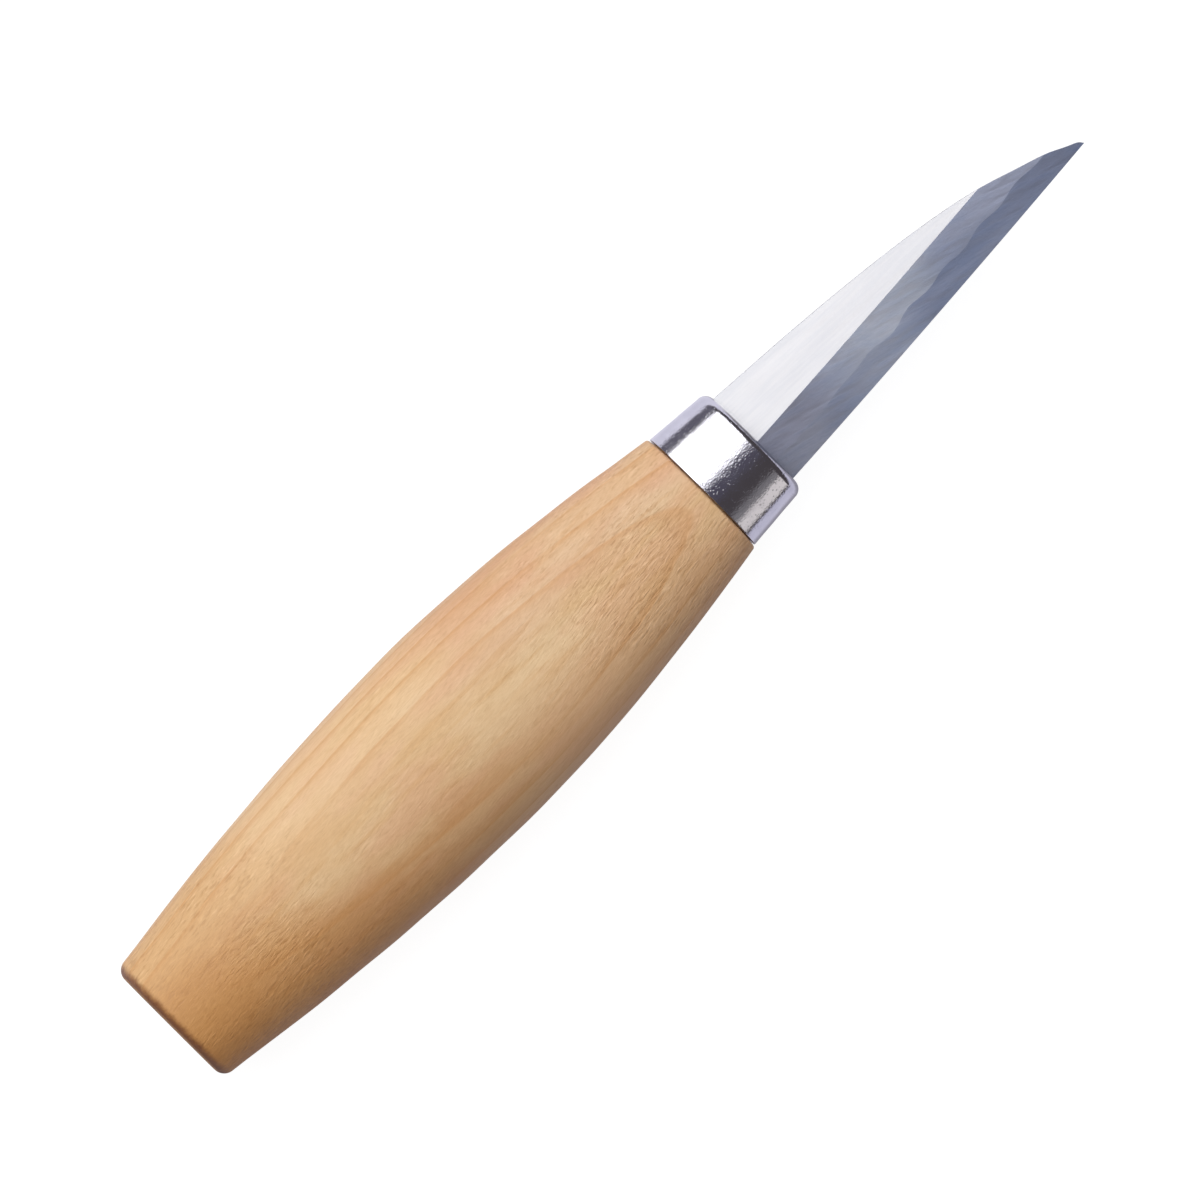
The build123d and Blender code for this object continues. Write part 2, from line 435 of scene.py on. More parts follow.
@dataclass(frozen=True)
class OiledBirch:
    """Flat-sawn birch, sanded and oiled: faint growth rings, short fibre flecks and soft clouds.

    The rings are shells round the tree's pith, which runs beside the handle above its upper side.
    So a ring shows as a long loop on the barrel's broad side, and as arcs on the butt.

    Attributes:
        pale: Colour of the palest wood.
        body: Colour of most of the wood.
        rosy: Colour of its pinker clouds, and the painted tint of shade on the side towards the edge.
        honey: Colour of the darker wood towards the butt.
        ring_line: Colour of a ring's late wood.
        fleck_dark_and_shade: What the wood's colour is multiplied by in a dark fleck: partly darker fibre,
            partly painted shade on the dark side of the fleck's relief.
        fleck_highlight: A painted highlight: what the colour is multiplied by where a fleck shines.
        end_grain_and_shade: Colour of the edges where the grain ends, partly painted shade where the butt's
            edge
        turns away and where the wood meets the ferrule, and of its pores.
        end_face: Colour of the butt's end grain.
        painted_light_tint: Painted light: the paler colour of the side towards the spine, which the key
            light faces.
        painted_shade_wash: Painted shade: what the colour is multiplied by on the side towards the edge.
        butt_wash: What the butt's colour is multiplied by.
        front_wash: What the spine side's colour is multiplied by near the ferrule.
        pith_height: How far the pith is above the handle's axis, in millimetres.
        pith_side: How far it is towards the spine, in millimetres.
        pith_lean: Its lean from the axis, in degrees, so that it is farther away at the butt.
        ring_gap: Thickness of a year's ring, in millimetres.
        ring_start: Distance from the pith to the ring that shows most, in millimetres.
        gloss: The oiled surface's roughness.
    """

    pale: Colour = srgb(227, 195, 151)
    body: Colour = srgb(219, 181, 132)
    rosy: Colour = srgb(222, 178, 137)
    honey: Colour = srgb(207, 158, 98)
    ring_line: Colour = srgb(202, 146, 88)
    # fleck_dark_and_shade is partly painted shade of the flecks' relief, and fleck_highlight is a painted
    # highlight.
    fleck_dark_and_shade: Colour = (0.83, 0.77, 0.70)
    fleck_highlight: Colour = (1.13, 1.17, 1.24)
    # end_grain_and_shade is end grain and pores, and at the butt's edge and the shoulder also painted shade.
    end_grain_and_shade: Colour = srgb(128, 80, 46)
    end_face: Colour = srgb(178, 132, 86)
    # sapwood is painted light on the spine side, and painted_shade_wash painted shade on the edge side.
    painted_light_tint: Colour = srgb(238, 212, 178)
    painted_shade_wash: Colour = (0.86, 0.73, 0.64)
    butt_wash: Colour = (0.94, 0.85, 0.77)
    front_wash: Colour = (0.93, 0.88, 0.92)
    pith_height: float = 35.0
    pith_side: float = -1.5
    ring_gap: float = 2.6
    pith_lean: float = -0.4
    ring_start: float = 27.69
    gloss: float = 0.5

    def build(self, centre: Vector, butt_x: float, rim_x: float) -> bpy.types.Material:
        """Makes the material.

        Args:
            centre: A point on the handle's axis, in metres.
            butt_x: Where the butt is along the axis, in metres.
            rim_x: Where the wood ends at the ferrule, in metres.

        Returns:
            The material.
        """
        r = Recipe("oiled_birch")
        own = r.millimetres()
        middle = r.place(shift=[-c / MM for c in centre], of=own)
        drift = r.noise(r.place((0.018, 0.07, 0.07), of=middle), detail=1.5, output="Color")
        push = r.node("VectorMath", {0: drift, 1: (0.5, 0.5, 0.5)}, operation="SUBTRACT").outputs[0]
        push = r.node("VectorMath", {0: push, 1: (0.0, 2.6, 1.2)}, operation="MULTIPLY").outputs[0]
        bent = r.node("VectorMath", {0: middle, 1: push}, operation="ADD").outputs[0]
        along = r.node("SeparateXYZ", {0: own}).outputs[0]

        colour = self.clouds(r, bent, along, butt_x)
        colour = self.sides(r, middle, colour)
        colour = r.blend(self.rings(r, middle, bent), colour, self.ring_line)

        flecks = r.noise(r.place((0.6, 3.0, 3.0), (0, 0, -6), of=bent), detail=2, rough=0.55, warp=0.5)
        fine = r.noise(r.place((0.9, 8, 8), (0, 0, -3), shift=(3, 5, 7), of=bent), detail=2)
        where = self.fleck_share(r, middle)
        # Painted light on the flecks: the dark side is partly painted shade of their relief, the light side
        # a painted highlight.
        darks = r.calc("MULTIPLY", r.between(flecks, 0.48, 0.32), where)
        lights = r.calc("MULTIPLY", r.between(flecks, 0.54, 0.7), where)
        colour = r.blend(darks, colour, self.fleck_dark_and_shade, "MULTIPLY")
        colour = r.blend(lights, colour, self.fleck_highlight, "MULTIPLY")
        colour = r.blend(r.between(fine, 0.6, 0.35, 0.0, 0.35), colour, self.fleck_dark_and_shade, "MULTIPLY")

        # Dark bands at the butt's rounded edge and at the shoulder: end grain, partly painted shade where
        # the edge turns away and where the wood meets the ferrule.
        ragged = r.calc("MULTIPLY", r.noise(r.place((0.3, 1.2, 1.2), of=own), detail=3), 0.9)
        butt = r.between(r.calc("SUBTRACT", along, ragged), butt_x / MM + 1.0, butt_x / MM - 0.1)
        rim = r.between(r.calc("ADD", along, ragged), rim_x / MM + 0.1, rim_x / MM + 1.0, 0.0, 0.7)
        colour = r.blend(r.calc("MAXIMUM", butt, rim), colour, self.end_grain_and_shade)
        face = r.between(along, butt_x / MM + 0.25, butt_x / MM + 0.03)
        colour = r.blend(face, colour, self.end_grain(r, middle, bent))

        relief = r.bump(r.calc("MULTIPLY", flecks, where), 0.125)
        relief = r.bump(fine, 0.014, relief)
        sheen = r.calc("ADD", r.calc("MULTIPLY", flecks, 0.2), self.gloss - 0.1)
        return r.surface({"Base Color": colour, "Roughness": sheen, "Normal": relief,
                          "Specular IOR Level": 0.45})

    def end_grain(self, r: Recipe, middle: Socket, bent: Socket) -> Socket:
        """The butt's face: the same rings as arcs, with open pores between them.

        Args:
            r: The recipe that the nodes go into.
            middle: Coordinates from the handle's centre.
            bent: The same, following the wandering grain.

        Returns:
            The colour.
        """
        pores = r.noise(r.place((0.3, 5.0, 5.0), of=middle), detail=1)
        rays = r.noise(r.place((0.1, 1.3, 0.25), shift=(2, 2, 2), of=middle), detail=2)
        colour = r.blend(r.between(rays, 0.4, 0.65, 0.0, 0.6), self.end_face, self.ring_line)
        colour = r.blend(self.rings(r, middle, bent), colour, self.end_grain_and_shade)
        return r.blend(r.between(pores, 0.6, 0.7, 0.0, 0.55), colour, self.end_grain_and_shade)

    def fleck_share(self, r: Recipe, middle: Socket) -> Socket:
        """How much the flecks show: in patches, and more towards both ends than in the belly.

        Args:
            r: The recipe that the nodes go into.
            middle: Coordinates from the handle's centre.

        Returns:
            The share, from 0 to 1.
        """
        along = r.node("SeparateXYZ", {0: middle}).outputs[0]
        patch = r.noise(r.place((0.05, 0.14, 0.14), shift=(5, 5, 1), of=middle), detail=2)
        from_belly = r.calc("ABSOLUTE", r.calc("ADD", along, 6.0))
        ends = r.between(from_belly, 14.0, 34.0, 0.4, 1.0)
        return r.calc("MULTIPLY", r.between(patch, 0.36, 0.6, 0.4, 1.0), ends)

    def sides(self, r: Recipe, middle: Socket, colour: Socket) -> Socket:
        """Painted light on the spine side, painted shade with a rosy tint on the edge side, and a browner
        butt.

        Args:
            r: The recipe that the nodes go into.
            middle: Coordinates from the handle's centre.
            colour: The wood's colour so far.

        Returns:
            The colour.
        """
        apart = r.node("SeparateXYZ", {0: middle})
        along, across = apart.outputs[0], apart.outputs[1]
        behind = r.between(along, 22.0, -14.0)
        # Painted light: paler on the spine side, which the key light faces. Painted shade: darker on the
        # edge side.
        painted_lit_side = r.calc("MULTIPLY", r.between(across, 2.0, 10.0, 0.0, 0.25), behind)
        painted_shaded_side = r.calc("MULTIPLY", r.between(across, 0.0, -8.5), behind)
        painted_shaded_side = r.calc("MULTIPLY", painted_shaded_side, r.between(along, -46.0, -22.0, 0.4, 1.0))
        butt = r.calc("MULTIPLY", r.between(along, -24.0, -46.0), r.between(across, 7.0, 1.0))
        # Painted shade's tint: a rosy blush on the edge side, towards the ferrule.
        blush = r.calc("MULTIPLY", r.between(across, 1.0, -8.0, 0.0, 0.6), r.between(along, -6.0, 18.0))
        front = r.calc("MULTIPLY", r.between(across, 0.0, 5.0), r.between(along, -6.0, 14.0))
        colour = r.blend(painted_lit_side, colour, self.painted_light_tint)
        colour = r.blend(painted_shaded_side, colour, self.painted_shade_wash, "MULTIPLY")
        colour = r.blend(butt, colour, self.butt_wash, "MULTIPLY")
        colour = r.blend(front, colour, self.front_wash, "MULTIPLY")
        return r.blend(blush, colour, self.rosy)

    def clouds(self, r: Recipe, bent: Socket, along: Socket, butt_x: float) -> Socket:
        """The wood's broad colours: pale and rosy clouds, and honey towards the butt.

        Args:
            r: The recipe that the nodes go into.
            bent: Coordinates from the handle's centre, following the wandering grain.
            along: Place along the axis, in millimetres.
            butt_x: Where the butt is along the axis, in metres.

        Returns:
            The colour.
        """
        cloud = r.noise(r.place((0.045, 0.11, 0.11), shift=(2, 9, 4), of=bent), detail=3, rough=0.6)
        blush = r.noise(r.place((0.06, 0.2, 0.2), shift=(11, 1, 6), of=bent), detail=2)
        streak = r.noise(r.place((0.06, 0.9, 0.9), shift=(1, 4, 2), of=bent), detail=2)
        colour = r.blend(r.between(cloud, 0.38, 0.66), self.body, self.pale)
        colour = r.blend(r.between(blush, 0.45, 0.68, 0.0, 0.7), colour, self.rosy)
        colour = r.blend(r.between(streak, 0.5, 0.72, 0.0, 0.35), colour, self.honey)
        reach = r.calc("ADD", along, r.calc("MULTIPLY", cloud, 24.0))
        share = r.between(reach, butt_x / MM + 52.0, butt_x / MM + 14.0, 0.0, 0.9)
        return r.blend(share, colour, self.honey)

    def rings(self, r: Recipe, middle: Socket, bent: Socket) -> Socket:
        """How much late wood shows: a thin line at the end of each year, stronger in patches.

        Args:
            r: The recipe that the nodes go into.
            middle: Coordinates from the handle's centre.
            bent: The same, following the wandering grain.

        Returns:
            The share of late wood.
        """
        shift = (0, -self.pith_side, -self.pith_height)
        spoke = r.place((0, 1, 1), (0, self.pith_lean, 0), shift, of=bent)
        radius = r.node("VectorMath", {0: spoke}, operation="LENGTH").outputs["Value"]
        years = r.calc("DIVIDE", r.calc("SUBTRACT", radius, self.ring_start), self.ring_gap)
        season = r.calc("FRACT", years)
        wide = r.between(season, 0.45, 0.93, 0.0, 0.45)
        thin = r.between(season, 0.8, 0.94, 0.0, 0.4)
        late = r.calc("MULTIPLY", r.calc("ADD", wide, thin), r.between(season, 1.0, 0.94))
        patch = r.noise(r.place((0.05, 0.12, 0.12), shift=(7, 3, 1), of=middle), detail=3)
        return r.calc("MULTIPLY", late, r.between(patch, 0.34, 0.6, 0.2, 0.62))


@dataclass(frozen=True)
class Plate:
    """Bright nickel plate on drawn steel, with faint pimples, specks and dents under it.

    Attributes:
        tint: The plate's colour.
        smudged: Its colour where it is a little dull.
        roughness: How dull it is on the whole.
        pimples_mm: Height of the fine pimples.
        dents_mm: Depth of the broad dents.
        specks_mm: Height of the scattered specks.
    """

    tint: Colour = srgb(206, 205, 213)
    smudged: Colour = srgb(168, 168, 180)
    roughness: float = 0.12
    pimples_mm: float = 0.017
    dents_mm: float = 0.02
    specks_mm: float = 0.0115

    def build(self) -> bpy.types.Material:
        """Makes the material: a polished metal with pimples, broad dents and specks in its relief.

        Returns:
            The material.
        """
        r = Recipe("bright_plate")
        own = r.millimetres()
        pimples = r.noise(r.place((4.4, 4.4, 4.4), of=own), detail=3)
        dents = r.noise(r.place((0.8, 0.8, 0.8), shift=(4, 4, 4), of=own), detail=2)
        smudge = r.noise(r.place((0.4, 0.4, 0.4), of=own), detail=3)
        cells = r.node("TexVoronoi", {"Vector": r.place((3.4, 3.4, 3.4), of=own), "Scale": 1.0})
        kept = r.between(r.node("SeparateColor", {0: cells.outputs["Color"]}).outputs[0], 0.45, 0.6)
        specks = r.calc("MULTIPLY", r.between(cells.outputs["Distance"], 0.42, 0.02), kept)
        relief = r.bump(pimples, self.pimples_mm)
        relief = r.bump(dents, self.dents_mm, relief)
        relief = r.bump(specks, self.specks_mm, relief)
        tint = r.blend(r.between(smudge, 0.4, 0.7, 0.0, 0.2), self.tint, self.smudged)
        rough = r.between(smudge, 0.35, 0.75, self.roughness * 0.8, self.roughness * 1.5)
        return r.surface({"Base Color": tint, "Metallic": 1.0, "Roughness": rough, "Normal": relief})


@dataclass(frozen=True)
class PaintedLightStretch:
    """A stretch of painted light on the blade: the ground steel's colour is multiplied up for a painted
    reflection and down for painted shade.

    Attributes:
        factor: What the steel's colour is multiplied by.
        rises: Where it begins and where it is full, along the blade in millimetres.
        falls: Where it begins to fade and where it ends.
    """

    factor: Colour
    rises: tuple[float, float]
    falls: tuple[float, float]


@dataclass(frozen=True)
class GroundSteel:
    """Blade steel with grinding streaks, and painted reflection and painted shade along the blade.

    Attributes:
        name: The material's name.
        tint: The steel's colour.
        shade: Its colour in the darker streaks.
        roughness: How dull the ground surface is.
        lean: The streaks' lean from the blade's axis, in degrees.
        stretch: Streak size along and across, in cycles per millimetre.
        depth_mm: Depth of the streaks' relief.
        painted_light_and_shade: The stretches of painted reflection and painted shade along the blade.
    """

    name: str
    tint: Colour
    shade: Colour
    roughness: float
    lean: float
    stretch: tuple[float, float]
    depth_mm: float
    painted_light_and_shade: tuple[PaintedLightStretch, ...] = ()

    def build(self) -> bpy.types.Material:
        """Makes the material: a metal whose streaks vary its colour, dullness and relief, and whose colour
        carries painted reflection and shade along the blade.

        Returns:
            The material.
        """
        r = Recipe(self.name)
        own = r.millimetres()
        length, width = self.stretch
        streak = r.noise(r.place((length, width, width), (0, 0, self.lean), of=own), detail=4, rough=0.62)
        fine = r.noise(r.place((length * 5, width * 5, width * 5), (0, 0, self.lean), of=own), detail=2)
        cloud = r.noise(r.place((0.06, 0.3, 0.3), (0, 0, self.lean / 2), of=own), detail=3)
        share = r.calc("ADD", r.calc("MULTIPLY", streak, 0.6), r.calc("MULTIPLY", cloud, 0.4))
        tint = r.blend(r.between(share, 0.38, 0.62), self.tint, self.shade)
        along = r.node("SeparateXYZ", {0: own}).outputs[0]
        # Painted light: stretches of painted reflection and painted shade along the blade.
        for painted_stretch in self.painted_light_and_shade:
            (begin, full), (fade, end) = painted_stretch.rises, painted_stretch.falls
            share = r.calc("MULTIPLY", r.between(along, begin, full), r.between(along, end, fade))
            tint = r.blend(share, tint, painted_stretch.factor, "MULTIPLY")
        rough = r.between(streak, 0.3, 0.7, self.roughness * 0.85, self.roughness * 1.2)
        relief = r.bump(streak, self.depth_mm)
        relief = r.bump(fine, self.depth_mm * 0.4, relief)
        return r.surface({"Base Color": tint, "Metallic": 1.0, "Roughness": rough, "Normal": relief})


@dataclass(frozen=True)
class SetGlue:
    """Set adhesive: amber, cloudy and slightly glossy."""

    amber: Colour = srgb(196, 158, 96)
    cloudy: Colour = srgb(150, 112, 62)

    def build(self) -> bpy.types.Material:
        """Makes the material: clouds of two ambers with small bubbles in the relief.

        Returns:
            The material.
        """
        r = Recipe("set_adhesive")
        own = r.millimetres()
        cloud = r.noise(r.place((0.5, 0.5, 0.5), of=own), detail=3)
        bubbles = r.noise(r.place((3, 3, 3), of=own), detail=1)
        tint = r.blend(r.between(cloud, 0.35, 0.65), self.amber, self.cloudy)
        return r.surface({"Base Color": tint, "Roughness": 0.4, "Normal": r.bump(bubbles, 0.02)})


# ---- The pieces --------------------------------------------------------------------------------


@dataclass
class Axis:
    """The knife's own axis in the frame: where the butt is, and the middle of width and thickness.

    Attributes:
        butt_x: The butt's place along X.
        tip_x: The point's place along X.
        height: The blade's middle plane above the table.
    """

    butt_x: float
    tip_x: float
    height: float

    @classmethod
    def of_frame(cls) -> "Axis":
        """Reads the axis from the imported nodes.

        Returns:
            The axis.
        """
        low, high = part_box("handle")
        core_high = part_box("blade_core")[1]
        return cls(butt_x=low.x, tip_x=core_high.x, height=(low.z + high.z) / 2)

    def place(self, x: np.ndarray, y: np.ndarray, z: np.ndarray) -> np.ndarray:
        """Points in the frame from places along, across and through the knife.

        Args:
            x: Distance ahead of the butt.
            y: Distance towards the spine from the axis.
            z: Distance above the blade's middle plane.

        Returns:
            The points, with one more dimension for the three coordinates.
        """
        x, y, z = np.broadcast_arrays(x, y, z)
        return np.stack([self.butt_x + x, y, self.height + z], axis=-1)


@dataclass
class Handle:
    """The birch barrel with its tenon, the tang's slot and the recess in the butt.

    Attributes (lengths in metres, pairs are half width and half thickness):
        axis: The knife's axis.
        wood_length: From the butt to the shoulder at the ferrule.
        tenon_end: From the butt to the tenon's end.
        belly_x: Where the barrel is widest.
        belly: Its size there.
        back_drop: How much smaller it is at the butt.
        back_power: The power by which it narrows towards the butt.
        front_drop: How much smaller it is at the shoulder.
        front_power: The power by which it narrows towards the shoulder.
        butt_rounding: Radius of the butt's edge.
        rim_rounding: Radius of the shoulder's edge.
        recess: The recess in the butt, round the tang's peened end.
        recess_depth: Its depth.
        recess_lip: How far its edge is broken.
        slot_back: The tang's slot at the recess.
        slot_front: The slot at the tenon's end.
        tenon_back: The tenon at the shoulder.
        tenon_front: The tenon near its end.
        tenon_rounding: How far the tenon's end is broken.
        flat_x: Where each broad side is sanded flat.
        flat_depth: How deep.
        flat_softness: Over what depth the flat eases into the barrel.
        unevenness: Size of the barrel's unevenness.
        even_front: How far from the shoulder it has faded.
        even_back: How far from the butt it has faded.
        columns: Points round the section.
        barrel_rows: Rows along the barrel.
    """

    axis: Axis
    wood_length: float = 97.5 * MM
    tenon_end: float = 106.45 * MM
    belly_x: float = 54.0 * MM
    belly: tuple[float, float] = (14.25 * MM, 10.0 * MM)
    back_drop: tuple[float, float] = (4.48 * MM, 2.6 * MM)
    back_power: float = 1.85
    front_drop: tuple[float, float] = (4.38 * MM, 3.3 * MM)
    front_power: float = 1.77
    butt_rounding: float = 1.5 * MM
    rim_rounding: float = 0.35 * MM
    recess: tuple[float, float] = (4.2 * MM, 2.9 * MM)
    recess_depth: float = 1.2 * MM
    recess_lip: float = 0.15 * MM
    slot_back: tuple[float, float] = (3.0 * MM, 1.9 * MM)
    slot_front: tuple[float, float] = (5.0 * MM, 1.9 * MM)
    tenon_back: tuple[float, float] = (8.85 * MM, 5.55 * MM)
    tenon_front: tuple[float, float] = (8.116 * MM, 5.045 * MM)
    tenon_rounding: float = 0.6 * MM
    flat_x: float = 69.5 * MM
    flat_depth: float = 0.15 * MM
    flat_softness: float = 0.02 * MM
    unevenness: float = 0.022 * MM
    even_front: float = 6 * MM
    even_back: float = 4 * MM
    columns: int = 232
    barrel_rows: int = 250

    def barrel(self, x: np.ndarray, which: int) -> np.ndarray:
        """The barrel's size: the belly's, less a power of the way from the belly to either end.

        Args:
            x: Places along the axis.
            which: 0 for the half width, 1 for the half thickness.

        Returns:
            The size at each place.
        """
        back = np.clip((self.belly_x - x) / self.belly_x, 0, None) ** self.back_power
        front = np.clip((x - self.belly_x) / (self.wood_length - self.belly_x), 0, None)
        front = front**self.front_power
        return self.belly[which] - self.back_drop[which] * back - self.front_drop[which] * front

    def flat_height(self, x: np.ndarray) -> np.ndarray:
        """Height of the plane that each broad side is sanded to, along the barrel's slope there.

        Args:
            x: Places along the axis.

        Returns:
            The height above the blade's middle plane at each place.
        """
        span = self.wood_length - self.belly_x
        share = (self.flat_x - self.belly_x) / span
        slope = self.front_drop[1] * self.front_power * share ** (self.front_power - 1) / span
        at_flat = float(self.barrel(np.array(self.flat_x), 1)) - self.flat_depth
        return at_flat - slope * (x - self.flat_x)

    def outside(self) -> np.ndarray:
        """The barrel's skin from the butt's rounding to the shoulder's, rows by columns.

        Each row is the oval scaled to the barrel's half width and half thickness. Near the butt
        and the shoulder both are taken in by a quarter circle. A low unevenness, inwards only,
        is laid over it, and each broad side is eased down to its sanded plane.

        Returns:
            The points, in the frame.
        """
        r, rim = self.butt_rounding, self.rim_rounding
        start = r - r * np.cos(quarter(0, 90, 14))
        end = self.wood_length - rim + rim * np.sin(quarter(0, 90, 7))
        body = np.linspace(r, self.wood_length - rim, self.barrel_rows)
        x = np.concatenate([start[:-1], body, end[1:]])[:, None]
        taken_in = rounded_off(r, r - x) + rounded_off(rim, x - self.wood_length + rim)
        turn = np.arange(self.columns) / self.columns
        across, through = oval(turn)
        share = x / self.wood_length
        bumps = self.unevenness * waves(share, turn[None, :], seed=5, count=26, cycles=(1.5, 9.0), lobes=5)
        bumps = bumps - bumps.max()
        bumps = bumps * np.clip((self.wood_length - x) / self.even_front, 0, 1)
        bumps = bumps * np.clip(x / self.even_back, 0, 1)
        y = (self.barrel(x, 0) - taken_in + bumps) * across
        z = (self.barrel(x, 1) - taken_in + bumps) * through
        soft = self.flat_softness
        high = np.abs(z)
        near = np.clip((high - self.flat_height(x)) / soft, -30, 30)
        z = np.sign(z) * (high - soft * np.log1p(np.exp(near)))
        return self.axis.place(x, y, z)

    def band(self, sizes: Sequence[tuple[float, tuple[float, float], float]]) -> np.ndarray:
        """Rows between an oval and a rectangle, for the parts out of sight.

        Args:
            sizes: For each row its place along the axis, its half width and half thickness, and
                its squareness, from 0 for the oval to 1 for the rectangle that holds it.

        Returns:
            The points, in the frame.
        """
        turn = np.arange(self.columns) / self.columns
        across, through = oval(turn)
        reach = np.maximum(np.abs(across), np.abs(through))
        rows = []
        for x, (half_width, half_thickness), square in sizes:
            y = half_width * ((1 - square) * across + square * across / reach)
            z = half_thickness * ((1 - square) * through + square * through / reach)
            rows.append(self.axis.place(np.array(x), y, z))
        return np.stack(rows)

    def build(self, birch: bpy.types.Material) -> bpy.types.Object:
        """Makes the handle and puts it in the place of its CAD node.

        Args:
            birch: The wood.

        Returns:
            The piece.
        """
        wide_recess = tuple(half + self.recess_lip for half in self.recess)
        butt_size = tuple(float(self.barrel(np.array(0.0), i)) - self.butt_rounding for i in (0, 1))
        tenon = [
            (self.wood_length, self.tenon_back, 0.0),
            (self.tenon_end - self.tenon_rounding, self.tenon_front, 0.0),
            (self.tenon_end, tuple(half - self.tenon_rounding for half in self.tenon_front), 0.0),
        ]
        slot_length = self.tenon_end - self.recess_depth
        slot = [(self.tenon_end - slot_length * share, part_way(self.slot_front, self.slot_back, share), 1.0)
                for share in np.linspace(0, 1, 9)]
        recess = [(self.recess_depth, self.recess, 0.0), (self.recess_lip, self.recess, 0.0)]
        butt = [(0.0, part_way(wide_recess, butt_size, share), 0.0) for share in np.linspace(0, 1, 12)[:-1]]
        rows = np.concatenate([self.outside(), self.band([*tenon, *slot, *recess, *butt])])
        piece = skin("birch_handle", [Sheet(rows, ring_rows=True, ring_columns=True)], [birch])
        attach(piece, "root")
        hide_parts("handle")
        return piece


